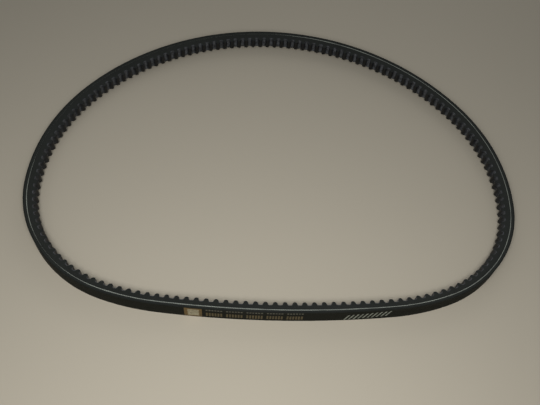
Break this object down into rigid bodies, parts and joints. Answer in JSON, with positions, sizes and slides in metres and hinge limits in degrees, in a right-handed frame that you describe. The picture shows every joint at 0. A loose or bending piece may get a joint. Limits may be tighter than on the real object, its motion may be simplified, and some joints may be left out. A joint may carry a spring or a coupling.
{
  "type": "v belt",
  "caption": "Endless raw-edge V belt with moulded cogs on its inner side and light cord lines on its flanks, lying on its side in a loose egg-shaped loop, for small wedge pulleys.",
  "frame": {"origin": "centre of the loop's box, on the middle plane of the belt's width", "axes": "Z is the belt's width direction, parallel to the pulley shafts; X is the long way across the loop; the near printed run starts along +X at the -Y side; the cogs face into the loop"},
  "size_m": [0.3606, 0.2733, 0.013],
  "materials": {
    "cover_fabric": "rubberised cloth, satin",
    "belt_rubber": "ground, satin",
    "cushion_rubber": "ground, satin",
    "cord": "cut cord ends, matte",
    "cog_fabric": "thin moulded cloth, satin",
    "bronze_print": "printed film",
    "pale_print": "printed film",
    "grey_print": "printed film",
    "white_print": "ink-jet ink"
  },
  "bodies": {
    "root": {"cover_fabric": "cover_fabric", "overcord_rubber": "belt_rubber", "upper_cushion_gum": "cushion_rubber", "tensile_cord": "cord", "lower_cushion_gum": "cushion_rubber", "compression_rubber": "belt_rubber", "cog_fabric": "cog_fabric", "label_block": "bronze_print", "label_panel": "pale_print", "upper_bars": "grey_print", "lower_bars": "bronze_print", "slanted_strokes": "white_print"}
  },
  "joints": []
}
